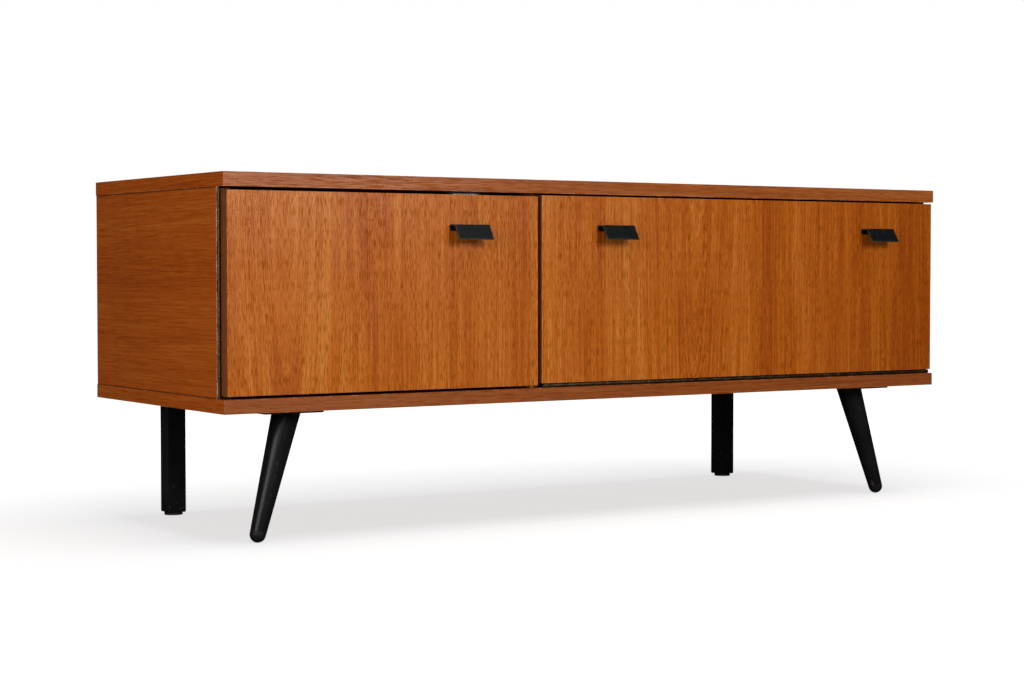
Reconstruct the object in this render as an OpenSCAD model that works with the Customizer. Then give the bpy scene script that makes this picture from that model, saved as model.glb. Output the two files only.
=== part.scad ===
// Sideboard buffet: a veneered carcase on four black legs, with a side-hung door on the left
// and a wide fall flap on the right.
// X runs along the width, Y from the front to the back, and Z up. The origin is on the floor,
// below the middle of the bounding box, pulls included.

/* [Carcase] */
// Width over the top panel
width = 1260; // [1180:5:1400]
// Depth of the top and bottom panels
depth = 436; // [400:1:480]
// Height of the carcase without its legs
carcase_h = 315; // [300:1:360]
// Thickness of the carcase boards
board_t = 19; // [18:1:22]
// Step from the ends of the top panel to the outer faces of the side panels
side_inset = 0.8; // [0.5:0.1:2]
// Distance from the left end to the middle of the divider
divider_from_left = 491.9; // [450:0.1:540]
// Thickness of the back panel
back_t = 5; // [4:1:6]
// Thickness of the shelf in the left compartment
shelf_t = 16; // [12:1:19]

/* [Door and flap] */
// Thickness of the door and the flap
front_t = 19; // [18:1:20]
// Step from the carcase's front to the faces of the door and the flap
front_recess = 0.3; // [0.2:0.1:1]
// Distance from the left end of the carcase to the door
door_reveal = 5.2; // [5.2:0.1:6]
// Distance from the flap to the right end of the carcase
flap_reveal = 3.8; // [2:0.1:6]
// Gap between the door and the flap
centre_gap = 6.4; // [4:0.1:8]
// Gap below the door
door_gap_bottom = 3.9; // [2:0.1:5]
// Gap above the door
door_gap_top = 4.5; // [2:0.1:5]
// Gap below the flap, which holds the barrel of its hinge
flap_gap_bottom = 6.4; // [6.4:0.1:7]
// Gap above the flap
flap_gap_top = 2.8; // [2:0.1:5]

/* [Hinges] */
// Radius of the door hinge's barrel
door_barrel_r = 1.9; // [1.7:0.1:1.9]
// Radius of the flap hinge's barrel
flap_barrel_r = 2.8; // [2.5:0.1:2.8]
// Number of knuckles on the door hinge
door_knuckles = 19; // [11:2:25]
// Number of knuckles on the flap hinge
flap_knuckles = 37; // [21:2:45]

/* [Pulls] */
// Width of a pull
pull_w = 56; // [40:1:80]
// Thickness of a pull's sheet
pull_t = 1.6; // [1.2:0.1:2]
// Reach of a pull's flat web from the face of the door
pull_web = 14; // [12:0.5:18]
// Drop of a pull's lip
pull_drop = 21; // [18:0.5:26]
// Slope of a pull's lip away from the vertical
pull_slope = 31; // [20:1:40]
// Distance from the top of the door or flap to the top of its pull
pull_from_top = 41.5; // [30:0.5:60]
// Distance from the ends of the flap to the middles of its pulls
flap_pull_inset = 124.5; // [100:0.5:200]
// Distance from the free edge of the door to the middle of its pull
door_pull_inset = 119; // [60:0.5:160]

/* [Legs] */
// Height of the carcase's underside above the floor
leg_h = 177; // [150:1:210]
// Radius of a front leg at the top
front_leg_top_r = 19.5; // [16:0.5:20]
// Radius of a front leg at the tip
front_leg_tip_r = 11; // [8:0.5:12]
// Distance from the end of the carcase to the middle of a front leg's top
front_leg_top_x = 123; // [110:1:130]
// Distance from the front of the carcase to the middle of a front leg's top
front_leg_top_y = 65; // [60:1:75]
// Distance from the end of the carcase to a front leg's tip
front_leg_tip_x = 73; // [40:1:100]
// Distance from the front of the carcase to a front leg's tip
front_leg_tip_y = 53; // [20:1:60]
// Side of a rear leg's square section
rear_leg_w = 28; // [28:1:34]
// Distance from the end of the carcase to the middle of a rear leg
rear_leg_x = 107; // [70:1:140]
// Distance from the back of the carcase to a rear leg
rear_leg_y = 15; // [8:1:30]

/* [Flap stays] */
// Height of a stay's pivot on the flap above the hinge's axis
stay_pivot_h = 175; // [160:1:185]
// Angle at the hinge between the vertical and a stay's guide
stay_guide_angle = 48; // [44:1:50]
// Radius of a stay's rod
stay_rod_r = 2.5; // [2:0.1:3]

/* [Hidden] */
$fn = 64;

// Small amounts that cuts run past the faces they open
past = 1;
// Radial clearance of a pin in its bore
running = 0.05;

// Depth that a pull stands out of the carcase's front
pull_reach = pull_web + (pull_drop - pull_t) * tan(pull_slope) + pull_t / 2;
front_y = -(depth - pull_reach + front_recess) / 2;
back_y = front_y + depth;
face_y = front_y + front_recess;
inner_y = face_y + front_t;

// Height levels of the carcase
bottom_z = leg_h;
floor_z = bottom_z + board_t;
top_z = bottom_z + carcase_h;
ceiling_z = top_z - board_t;

// Places across the carcase
end_x = width / 2;
side_out_x = end_x - side_inset;
side_in_x = side_out_x - board_t;
divider_x = divider_from_left - end_x;
divider_left_x = divider_x - board_t / 2;
divider_right_x = divider_x + board_t / 2;

// Door and flap
door_left_x = door_reveal - end_x;
door_right_x = divider_x - centre_gap / 2;
door_low_z = floor_z + door_gap_bottom;
door_high_z = ceiling_z - door_gap_top;
flap_left_x = divider_x + centre_gap / 2;
flap_right_x = end_x - flap_reveal;
flap_low_z = floor_z + flap_gap_bottom;
flap_high_z = ceiling_z - flap_gap_top;

// Door hinge: two thin leaves folded between the door and the side panel
door_leaf_t = 0.7;
door_leaf_gap = 0.3;
door_fold = 2 * door_leaf_t + door_leaf_gap;
side_front_y = inner_y + door_fold;
door_axis_x = -side_out_x + door_barrel_r + 0.1;
door_axis_y = inner_y + door_fold / 2;
door_pin_r = 1;
door_leaf_reach = 13;
door_hinge_end = 1;
door_hinge_low_z = floor_z + door_hinge_end;
door_hinge_len = ceiling_z - floor_z - 2 * door_hinge_end;
door_screws = 7;

// Flap hinge: two leaves in the gap below the flap
flap_leaf_t = 1;
flap_axis_y = front_y + flap_barrel_r;
flap_axis_z = floor_z + flap_gap_bottom / 2;
flap_pin_r = 1.4;
flap_leaf_reach = 15;
flap_hinge_end = 4;
flap_hinge_left_x = flap_left_x + flap_hinge_end;
flap_hinge_len = flap_right_x - flap_left_x - 2 * flap_hinge_end;
flap_screws = 14;
knuckle_gap = 0.4;
barrel_relief = 0.5;

// Countersunk screws: radii of the head and the shank
hinge_head_r = 2.3;
hinge_shank_r = 1.1;
small_head_r = 2.8;
small_shank_r = 1.4;
plate_head_r = 4;
plate_shank_r = 2;
screw_slot = 0.6;

// Lengths of the screws
door_hinge_screw_len = 12;
flap_hinge_screw_len = 14;
catch_screw_len = 12;
plate_screw_len = 16;
stay_screw_len = 14;
back_screw_len = 16;
pull_screw_len = 15;

// Back panel in its rebate
rebate_d = back_t + 1;
rebate_w = 9;
back_margin = 0.5;
back_screw_columns = 6;
back_screw_inset = 30;

// Dowels
dowel_r = 4;
dowel_len = 30;
dowel_in_board = 10;
dowel_ys = [for (i = [0:3]) side_front_y + 45 + i * (back_y - side_front_y - 100) / 3];
dowel_xs = [-(side_in_x + board_t / 2), divider_x, side_in_x + board_t / 2];

// Shelf and its pins
shelf_top_z = floor_z + (ceiling_z - floor_z) / 2 + shelf_t / 2;
shelf_front_y = side_front_y + 25;
shelf_back_y = back_y - rebate_d - 6;
shelf_side_gap = 1;
pin_r = 2.5;
pin_hole_depth = 9;
pin_out = 8;
pin_pitch = 32;
pin_z = shelf_top_z - shelf_t - pin_r;
pin_ys = [shelf_front_y + 45, shelf_back_y - 60];

// Pulls
pull_flange = 8.6;
pull_screw_x = 18;
pull_screw_z = -(pull_flange + pull_t) / 2;
door_pull_x = door_right_x - door_pull_inset;
flap_pull_xs = [flap_left_x + flap_pull_inset, flap_right_x - flap_pull_inset];

// Magnetic catches and their keepers
catch_w = 34;
catch_ear = 8;
catch_ear_t = 3;
catch_d = 14;
catch_h = 12;
magnet_w = 28;
magnet_h = 7;
magnet_out = 0.6;
magnet_d = 11;
keeper_w = 40;
keeper_h = 11;
keeper_t = 1.2;
keeper_gap = 0.4;
keeper_screw_x = magnet_w / 2 + 3;
magnet_y = inner_y + keeper_t + keeper_gap;
catch_y = magnet_y + magnet_out;
door_catch_x = divider_x - 112;
flap_catch_z = ceiling_z - 45;
magnet_drop = catch_h - magnet_h / 2 - 1;

// Front legs
plate_t = 4;
plate_w = 90;
plate_x = 115.5;
plate_y = 70;
plate_corner_r = 6;
plate_screw_at = 36;
glide_seam = 4;
leg_bolt_r = 4;
leg_bolt_len = 40;
front_leg_over = 15;
front_bolt_over = 10;

// Rear legs
rear_glide_h = 4;
rear_glide_r = 13.5;
rear_stem_r = 3;
rear_stem_len = 14;
rear_bolt_up = 14;

// Flap stays. The guide lies on the circle that the rod's pivot runs on about the hinge's
// axis, so the rod turns by exactly half the flap's angle and always points at the guide.
stay_offset = 10;
stay_pivot_out = 9;
stay_pivot_y = inner_y + stay_pivot_out;
stay_pivot_z = flap_axis_z + stay_pivot_h;
stay_r = norm([stay_pivot_y - flap_axis_y, stay_pivot_h]);
stay_pivot_angle = atan2(stay_pivot_y - flap_axis_y, stay_pivot_h);
stay_guide_y = flap_axis_y + stay_r * sin(stay_guide_angle);
stay_guide_z = flap_axis_z + stay_r * cos(stay_guide_angle);
stay_slope = atan2(stay_guide_z - stay_pivot_z, stay_guide_y - stay_pivot_y);
stay_open_len = 2 * stay_r * sin((stay_guide_angle - stay_pivot_angle + 90) / 2);
guide_r = 8;
guide_from_wall = 4.2;
guide_h = 12;
guide_bore_clear = 0.3;
trunnion_r = 3;
trunnion_end_gap = 0.3;
stay_base_r = 15;
stay_base_t = 3.6;
stay_base_screw_r = 10.4;
eye_r = 6;
eye_t = 5;
stay_pin_r = 2;
stop_r = 6;
stop_len = 8;
stop_gap = 0.4;
stop_from_pivot = stay_open_len + guide_r + stop_gap;
bracket_w = 16;
bracket_h = 38;
bracket_t = 2;
ear_gap = 0.4;
bracket_ear_t = 2;
bracket_screw_z = 14;
bracket_ear_r = 5.5;
pin_head_r = 3;
pin_head_t = 1;

// Colours
teak = [0.62, 0.30, 0.11];
teak_front = [0.74, 0.40, 0.15];
ply = [0.72, 0.55, 0.36];
beech = [0.83, 0.68, 0.46];
black_paint = [0.06, 0.06, 0.06];
nickel = [0.66, 0.63, 0.56];
bronze = [0.24, 0.19, 0.14];
steel = [0.55, 0.55, 0.55];

// A block between two opposite corners
module block(low, high) {
  translate(low) cube(high - low);
}

// Countersunk screw along -Z, its flat head flush with z = 0
module screw_body(head_r, shank_r, len) {
  head_h = head_r - shank_r;
  translate([0, 0, -head_h]) cylinder(h = head_h, r1 = shank_r, r2 = head_r);
  translate([0, 0, -len]) cylinder(h = len - head_h, r = shank_r);
}

// The same screw with a slot across its head
module slotted_screw(head_r, shank_r, len) {
  difference() {
    screw_body(head_r, shank_r, len);
    translate([-head_r, -screw_slot / 2, -screw_slot]) cube([2 * head_r, screw_slot, screw_slot + past]);
  }
}

// Turns -Z to +Y, for what is driven in from the front
module from_front() {
  rotate([90, 0, 0]) children();
}

// Turns -Z to -Y, for what is driven in from behind
module from_back() {
  rotate([-90, 0, 0]) children();
}

// Turns local X, Y and Z to row Y, Z and X
module along_x() {
  rotate([90, 0, 90]) children();
}

// Places for the children at the dowels of one joint line between two boards
module at_dowels(x, z) {
  for (y = dowel_ys) {
    translate([x, y, z]) children();
  }
}

// Dowels of the joints below (or their holes), lower end at joint_z - below
module dowel_row(x, joint_z, below) {
  at_dowels(x, joint_z - below) cylinder(h = dowel_len, r = dowel_r);
}

// All dowels: they reach dowel_in_board into the top and bottom panels
module dowels() {
  for (x = dowel_xs) {
    dowel_row(x, floor_z, dowel_in_board);
    dowel_row(x, ceiling_z, dowel_len - dowel_in_board);
  }
}

// The space that the back panel's rebates take out of the carcase
module rebate_space() {
  block(
    [-side_in_x - rebate_w, back_y - rebate_d, floor_z - rebate_w],
    [side_in_x + rebate_w, back_y + past, ceiling_z + rebate_w]
  );
}

module top_panel() {
  color(teak) difference() {
    block([-end_x, front_y, ceiling_z], [end_x, back_y, top_z]);
    rebate_space();
    dowels();
  }
}

module bottom_panel() {
  color(teak) difference() {
    block([-end_x, front_y, bottom_z], [end_x, back_y, floor_z]);
    rebate_space();
    dowels();
  }
}

// Right side panel; the left one is its mirror image before it is cut
module side_board() {
  difference() {
    block([side_in_x, side_front_y, floor_z], [side_out_x, back_y, ceiling_z]);
    rebate_space();
  }
}

// Blind holes for shelf pins, bored from a compartment wall at x in the direction dir
module pin_holes(x, dir) {
  for (y = pin_ys, row = [-1:1]) {
    translate([x - dir * past, y, pin_z + row * pin_pitch])
      rotate([0, dir * 90, 0]) cylinder(h = pin_hole_depth + past, r = pin_r);
  }
}

module left_side_panel() {
  barrel_room = 0.4;
  color(teak) difference() {
    mirror([1, 0, 0]) side_board();
    dowels();
    pin_holes(-side_in_x, -1);
    block(
      [-side_out_x - past, side_front_y - past, floor_z - past],
      [door_axis_x + door_barrel_r + barrel_room, door_axis_y + door_barrel_r + barrel_room, ceiling_z + past]
    );
  }
}

module right_side_panel() {
  color(teak) difference() {
    side_board();
    dowels();
  }
}

module divider_panel() {
  color(teak) difference() {
    block([divider_left_x, side_front_y, floor_z], [divider_right_x, back_y - rebate_d, ceiling_z]);
    dowels();
    pin_holes(divider_left_x, 1);
  }
}

module back_panel() {
  half = side_in_x + rebate_w - back_margin;
  rise = rebate_w - back_margin;
  color(ply) difference() {
    block([-half, back_y - rebate_d, floor_z - rise], [half, back_y - rebate_d + back_t, ceiling_z + rise]);
    back_screws() screw_body(small_head_r, small_shank_r, back_screw_len);
  }
}

// Places for the children at the back panel's screws, all round it and down the divider
module back_screws() {
  face = back_y - rebate_d + back_t;
  reach = side_in_x - back_screw_inset;
  for (i = [0:back_screw_columns - 1], z = [floor_z - rebate_w / 2, ceiling_z + rebate_w / 2]) {
    translate([reach * (2 * i / (back_screw_columns - 1) - 1), face, z]) from_back() children();
  }
  for (x = [-side_in_x - rebate_w / 2, divider_x, side_in_x + rebate_w / 2], part = [1, 2]) {
    translate([x, face, floor_z + part * (ceiling_z - floor_z) / 3]) from_back() children();
  }
}

module back_panel_screws() {
  color(steel) back_screws() slotted_screw(small_head_r, small_shank_r, back_screw_len);
}

module carcase_dowels() {
  color(beech) dowels();
}

module shelf() {
  color(teak) block(
    [-side_in_x + shelf_side_gap, shelf_front_y, shelf_top_z - shelf_t],
    [divider_left_x - shelf_side_gap, shelf_back_y, shelf_top_z]
  );
}

module shelf_pins() {
  color(steel) for (y = pin_ys) {
    translate([-side_in_x - pin_hole_depth, y, pin_z])
      rotate([0, 90, 0]) cylinder(h = pin_hole_depth + pin_out, r = pin_r);
    translate([divider_left_x - pin_out, y, pin_z])
      rotate([0, 90, 0]) cylinder(h = pin_hole_depth + pin_out, r = pin_r);
  }
}

// Places for the children at a hinge leaf's screws, in the leaf's own frame
module at_leaf_screws(len, count, x, y) {
  for (i = [0:count - 1]) {
    translate([x, y, len * (i + 0.5) / count]) children();
  }
}

// One leaf of a piano hinge. The pin's axis is local Z, and the plate lies towards +X between
// the levels y0 and y1. It has every second knuckle, counted from the number first.
module hinge_leaf(len, knuckles, first, barrel_r, pin_r, reach, y0, y1) {
  pitch = len / knuckles;
  plate_x = barrel_r + barrel_relief;
  difference() {
    union() {
      translate([plate_x, y0, 0]) cube([reach - plate_x, y1 - y0, len]);
      for (i = [first:2:knuckles - 1]) {
        translate([0, 0, i * pitch + knuckle_gap / 2]) {
          cylinder(h = pitch - knuckle_gap, r = barrel_r);
          translate([0, y0, 0]) cube([plate_x + past, y1 - y0, pitch - knuckle_gap]);
        }
      }
    }
    translate([0, 0, -past]) cylinder(h = len + 2 * past, r = pin_r + running);
  }
}

// Door hinge, in a frame whose Z is the pin's axis
module at_door_hinge() {
  translate([door_axis_x, door_axis_y, door_hinge_low_z]) children();
}

// Places at the screws of the door hinge's leaf on the door (side -1) or the carcase (side 1)
module at_door_hinge_screws(side) {
  at_door_hinge()
    at_leaf_screws(
      door_hinge_len, door_screws, (door_barrel_r + door_leaf_reach) / 2, side * door_leaf_gap / 2
    )
      rotate([side * 90, 0, 0]) children();
}

module door_hinge_carcase_leaf() {
  color(bronze) difference() {
    at_door_hinge() hinge_leaf(
      door_hinge_len, door_knuckles, 0, door_barrel_r, door_pin_r, door_leaf_reach,
      door_leaf_gap / 2, door_fold / 2
    );
    at_door_hinge_screws(1) screw_body(hinge_head_r, hinge_shank_r, door_hinge_screw_len);
  }
}

module door_hinge_door_leaf() {
  color(bronze) difference() {
    at_door_hinge() hinge_leaf(
      door_hinge_len, door_knuckles, 1, door_barrel_r, door_pin_r, door_leaf_reach,
      -door_fold / 2, -door_leaf_gap / 2
    );
    at_door_hinge_screws(-1) screw_body(hinge_head_r, hinge_shank_r, door_hinge_screw_len);
  }
}

module door_hinge_pin() {
  color(steel) at_door_hinge() cylinder(h = door_hinge_len, r = door_pin_r);
}

module door_hinge_carcase_screws() {
  color(bronze) at_door_hinge_screws(1)
    slotted_screw(hinge_head_r, hinge_shank_r, door_hinge_screw_len);
}

module door_hinge_door_screws() {
  color(bronze) at_door_hinge_screws(-1)
    slotted_screw(hinge_head_r, hinge_shank_r, door_hinge_screw_len);
}

// Flap hinge, in a frame whose local Z is the pin's axis, X the depth and Y the height
module at_flap_hinge() {
  translate([flap_hinge_left_x, flap_axis_y, flap_axis_z]) along_x() children();
}

// Places at the screws of the flap hinge's leaf on the carcase (side -1) or the flap (side 1)
module at_flap_hinge_screws(side) {
  at_flap_hinge()
    at_leaf_screws(
      flap_hinge_len, flap_screws, (flap_barrel_r + flap_leaf_reach) / 2,
      side * (flap_gap_bottom / 2 - flap_leaf_t)
    )
      rotate([side * 90, 0, 0]) children();
}

module flap_hinge_carcase_leaf() {
  color(bronze) difference() {
    at_flap_hinge() hinge_leaf(
      flap_hinge_len, flap_knuckles, 0, flap_barrel_r, flap_pin_r, flap_leaf_reach,
      -flap_gap_bottom / 2, -flap_gap_bottom / 2 + flap_leaf_t
    );
    at_flap_hinge_screws(-1) screw_body(hinge_head_r, hinge_shank_r, flap_hinge_screw_len);
  }
}

module flap_hinge_flap_leaf() {
  color(bronze) difference() {
    at_flap_hinge() hinge_leaf(
      flap_hinge_len, flap_knuckles, 1, flap_barrel_r, flap_pin_r, flap_leaf_reach,
      flap_gap_bottom / 2 - flap_leaf_t, flap_gap_bottom / 2
    );
    at_flap_hinge_screws(1) screw_body(hinge_head_r, hinge_shank_r, flap_hinge_screw_len);
  }
}

module flap_hinge_pin() {
  color(steel) at_flap_hinge() cylinder(h = flap_hinge_len, r = flap_pin_r);
}

module flap_hinge_carcase_screws() {
  color(bronze) at_flap_hinge_screws(-1)
    slotted_screw(hinge_head_r, hinge_shank_r, flap_hinge_screw_len);
}

module flap_hinge_flap_screws() {
  color(bronze) at_flap_hinge_screws(1)
    slotted_screw(hinge_head_r, hinge_shank_r, flap_hinge_screw_len);
}

// Places for the children on each catch's mounting face: local +Z points into the board,
// -Y to the front
module at_door_catch() {
  translate([door_catch_x, 0, ceiling_z]) children();
}

module at_flap_catch_left() {
  translate([divider_right_x, 0, flap_catch_z]) rotate([0, -90, 0]) children();
}

module at_flap_catch_right() {
  translate([side_in_x, 0, flap_catch_z]) rotate([0, 90, 0]) children();
}

module at_flap_catches() {
  at_flap_catch_left() children();
  at_flap_catch_right() children();
}

// Places for the children at a catch's two screws
module at_catch_screws() {
  for (dir = [-1, 1]) {
    translate([dir * (catch_w + catch_ear) / 2, catch_y + catch_d / 2, -catch_ear_t])
      mirror([0, 0, 1]) children();
  }
}

// Space of the magnet and its pole plates
module magnet_block() {
  translate([-magnet_w / 2, magnet_y, -magnet_drop - magnet_h / 2]) cube([magnet_w, magnet_d, magnet_h]);
}

module catch_case() {
  color(nickel) difference() {
    union() {
      translate([-catch_w / 2, catch_y, -catch_h]) cube([catch_w, catch_d, catch_h]);
      translate([-catch_w / 2 - catch_ear, catch_y, -catch_ear_t])
        cube([catch_w + 2 * catch_ear, catch_d, catch_ear_t]);
    }
    magnet_block();
    at_catch_screws() screw_body(small_head_r, small_shank_r, catch_screw_len);
  }
}

module door_catch() {
  at_door_catch() catch_case();
}

module flap_catch_left() {
  at_flap_catch_left() catch_case();
}

module flap_catch_right() {
  at_flap_catch_right() catch_case();
}

module catch_magnets() {
  color(black_paint) {
    at_door_catch() magnet_block();
    at_flap_catches() magnet_block();
  }
}

module catch_screws() {
  color(steel) {
    at_door_catch() at_catch_screws() slotted_screw(small_head_r, small_shank_r, catch_screw_len);
    at_flap_catches() at_catch_screws() slotted_screw(small_head_r, small_shank_r, catch_screw_len);
  }
}

// Places for the children at a keeper's two screws, outside the magnet's face
module at_keeper_screws() {
  for (dir = [-1, 1]) {
    translate([dir * keeper_screw_x, inner_y + keeper_t, -magnet_drop]) from_back() children();
  }
}

// Steel keeper plate on the back of the door or flap, in its catch's frame
module keeper_plate() {
  color(nickel) difference() {
    translate([-keeper_w / 2, inner_y, -magnet_drop - keeper_h / 2]) cube([keeper_w, keeper_t, keeper_h]);
    at_keeper_screws() screw_body(hinge_head_r, hinge_shank_r, catch_screw_len);
  }
}

module door_keeper() {
  at_door_catch() keeper_plate();
}

module door_keeper_screws() {
  color(steel) at_door_catch() at_keeper_screws()
    slotted_screw(hinge_head_r, hinge_shank_r, catch_screw_len);
}

module flap_keepers() {
  at_flap_catches() keeper_plate();
}

module flap_keeper_screws() {
  color(steel) at_flap_catches() at_keeper_screws()
    slotted_screw(hinge_head_r, hinge_shank_r, catch_screw_len);
}

module door_panel() {
  color(teak_front) block([door_left_x, face_y, door_low_z], [door_right_x, inner_y, door_high_z]);
}

module flap_panel() {
  color(teak_front) block([flap_left_x, face_y, flap_low_z], [flap_right_x, inner_y, flap_high_z]);
}

// A strip of sheet seen on edge from point a to point b, with round ends
module strip(a, b) {
  translate(a) rotate(atan2(b.y - a.y, b.x - a.x)) {
    translate([0, -pull_t / 2]) square([norm(b - a), pull_t]);
    circle(d = pull_t);
    translate([norm(b - a), 0]) circle(d = pull_t);
  }
}

// Folded sheet pull: a flange on the door, a flat web, and a lip that slopes down and outwards.
// Its origin is on the door's face, at the top of the flange.
module pull() {
  half = pull_t / 2;
  lip_drop = pull_drop - pull_t;
  bend = [-pull_web, -half];
  color(black_paint) difference() {
    translate([-pull_w / 2, 0, 0]) along_x() linear_extrude(pull_w) {
      strip([-half, half - pull_flange], [-half, -half]);
      strip([-half, -half], bend);
      strip(bend, bend - [lip_drop * tan(pull_slope), lip_drop]);
    }
    at_pull_screws() screw_body(small_head_r, small_shank_r, pull_screw_len);
  }
}

// Places for the children at a pull's two screws
module at_pull_screws() {
  for (dir = [-1, 1]) {
    translate([dir * pull_screw_x, -pull_t, pull_screw_z]) from_front() children();
  }
}

module at_door_pull() {
  translate([door_pull_x, face_y, door_high_z - pull_from_top]) children();
}

module at_flap_pull(x) {
  translate([x, face_y, flap_high_z - pull_from_top]) children();
}

module door_pull() {
  at_door_pull() pull();
}

module door_pull_screws() {
  color(black_paint) at_door_pull() at_pull_screws()
    slotted_screw(small_head_r, small_shank_r, pull_screw_len);
}

module flap_pull_left() {
  at_flap_pull(flap_pull_xs[0]) pull();
}

module flap_pull_right() {
  at_flap_pull(flap_pull_xs[1]) pull();
}

module flap_pull_screws() {
  color(black_paint) for (x = flap_pull_xs) {
    at_flap_pull(x) at_pull_screws() slotted_screw(small_head_r, small_shank_r, pull_screw_len);
  }
}

// The left front leg's axis runs from the middle of its round tip to its top
front_leg_foot = [front_leg_tip_x - end_x, front_y + front_leg_tip_y, front_leg_tip_r];
front_leg_head = [front_leg_top_x - end_x, front_y + front_leg_top_y, leg_h];
front_leg_axis = front_leg_head - front_leg_foot;
front_leg_len = norm(front_leg_axis);

// The left front leg's frame: the origin is the middle of the tip and Z runs up the leg
module at_front_leg() {
  translate(front_leg_foot)
    rotate([0, acos(front_leg_axis.z / front_leg_len), atan2(front_leg_axis.y, front_leg_axis.x)])
      rotate(90) children();
}

function front_leg_r(s) = front_leg_tip_r + (front_leg_top_r - front_leg_tip_r) * s / front_leg_len;

// The space above a level, to cut a leg or its bolt flat
module above(z) {
  block([-end_x, front_y, z], [0, back_y, top_z]);
}

module left_front_leg() {
  over = front_leg_len + front_leg_over;
  color(black_paint) difference() {
    at_front_leg() translate([0, 0, glide_seam])
      cylinder(h = over - glide_seam, r1 = front_leg_r(glide_seam), r2 = front_leg_r(over));
    above(leg_h - plate_t);
  }
}

module front_leg_left() {
  left_front_leg();
}

module front_leg_right() {
  mirror([1, 0, 0]) left_front_leg();
}

module left_front_glide() {
  at_front_leg() {
    difference() {
      sphere(r = front_leg_tip_r);
      cylinder(h = front_leg_tip_r + past, r = front_leg_tip_r + past);
    }
    cylinder(h = glide_seam, r1 = front_leg_tip_r, r2 = front_leg_r(glide_seam));
  }
}

module front_leg_glides() {
  color([0.12, 0.12, 0.12]) {
    left_front_glide();
    mirror([1, 0, 0]) left_front_glide();
  }
}

module left_leg_bolt() {
  difference() {
    at_front_leg() translate([0, 0, front_leg_len - leg_bolt_len])
      cylinder(h = leg_bolt_len + front_bolt_over, r = leg_bolt_r);
    above(leg_h);
  }
}

module front_leg_bolts() {
  color(steel) {
    left_leg_bolt();
    mirror([1, 0, 0]) left_leg_bolt();
  }
}

// Places for the children on the left plate's corners, driven in from below
module at_plate_screws() {
  for (dx = [-1, 1], dy = [-1, 1]) {
    translate([plate_x - end_x, front_y + plate_y, leg_h - plate_t])
      translate([dx * plate_screw_at, dy * plate_screw_at, 0]) mirror([0, 0, 1]) children();
  }
}

module left_leg_plate() {
  half = plate_w / 2;
  core = half - plate_corner_r;
  color(black_paint) difference() {
    translate([plate_x - end_x, front_y + plate_y, leg_h - plate_t]) linear_extrude(plate_t) {
      square([2 * half, 2 * core], center = true);
      square([2 * core, 2 * half], center = true);
      for (dx = [-1, 1], dy = [-1, 1]) {
        translate([dx * core, dy * core]) circle(r = plate_corner_r);
      }
    }
    at_plate_screws() screw_body(plate_head_r, plate_shank_r, plate_screw_len);
  }
}

module front_leg_plate_left() {
  left_leg_plate();
}

module front_leg_plate_right() {
  mirror([1, 0, 0]) left_leg_plate();
}

module front_leg_plate_screws() {
  color(steel) {
    at_plate_screws() slotted_screw(plate_head_r, plate_shank_r, plate_screw_len);
    mirror([1, 0, 0]) at_plate_screws() slotted_screw(plate_head_r, plate_shank_r, plate_screw_len);
  }
}

// Places for the children on the axis of each rear leg, at floor level
module at_rear_leg(side) {
  translate([side * (end_x - rear_leg_x), back_y - rear_leg_y - rear_leg_w / 2, 0]) children();
}

module rear_leg(side) {
  half = rear_leg_w / 2;
  color(black_paint) at_rear_leg(side) block([-half, -half, rear_glide_h], [half, half, leg_h]);
}

module rear_leg_left() {
  rear_leg(-1);
}

module rear_leg_right() {
  rear_leg(1);
}

module rear_leg_bolts() {
  color(steel) for (side = [-1, 1]) {
    at_rear_leg(side) translate([0, 0, leg_h - leg_bolt_len])
      cylinder(h = leg_bolt_len + rear_bolt_up, r = leg_bolt_r);
  }
}

module rear_leg_glides() {
  color([0.12, 0.12, 0.12]) for (side = [-1, 1]) {
    at_rear_leg(side) {
      cylinder(h = rear_glide_h, r = rear_glide_r);
      cylinder(h = rear_glide_h + rear_stem_len, r = rear_stem_r);
    }
  }
}

// Wall that carries a stay, and the direction from it into the compartment
function stay_wall(side) = side < 0 ? divider_right_x : side_in_x;
function stay_rod_x(side) = stay_wall(side) - side * stay_offset;

// The guide's frame: the origin is on the wall and local Z points into the compartment
module at_stay_guide(side) {
  translate([stay_wall(side), stay_guide_y, stay_guide_z]) rotate([0, -side * 90, 0]) children();
}

// Places for the children at the three screws of a stay's base
module at_stay_base_screws(side) {
  at_stay_guide(side) for (turn = [0:120:240]) {
    rotate(turn) translate([stay_base_screw_r, 0, stay_base_t]) children();
  }
}

module stay_base(side) {
  color(nickel) difference() {
    at_stay_guide(side) difference() {
      cylinder(h = stay_base_t, r = stay_base_r);
      translate([0, 0, -past]) cylinder(h = stay_base_t + 2 * past, r = trunnion_r + running);
    }
    at_stay_base_screws(side) screw_body(small_head_r, small_shank_r, stay_screw_len);
  }
}

module stay_base_left() {
  stay_base(-1);
}

module stay_base_right() {
  stay_base(1);
}

module stay_base_screws() {
  color(steel) for (side = [-1, 1]) {
    at_stay_base_screws(side) slotted_screw(small_head_r, small_shank_r, stay_screw_len);
  }
}

// The rod's frame: the origin is the pivot on the flap and local Z runs along the rod
module at_stay_rod(side) {
  translate([stay_rod_x(side), stay_pivot_y, stay_pivot_z]) rotate([stay_slope - 90, 0, 0]) children();
}

// Guide block that turns on its trunnion and lets the rod slide through
module stay_guide(side) {
  color(nickel) difference() {
    at_stay_guide(side) {
      translate([0, 0, guide_from_wall]) cylinder(h = guide_h, r = guide_r);
      translate([0, 0, trunnion_end_gap]) cylinder(h = guide_from_wall, r = trunnion_r);
    }
    at_stay_rod(side) cylinder(h = stay_open_len, r = stay_rod_r + guide_bore_clear);
  }
}

module stay_guide_left() {
  stay_guide(-1);
}

module stay_guide_right() {
  stay_guide(1);
}

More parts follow.
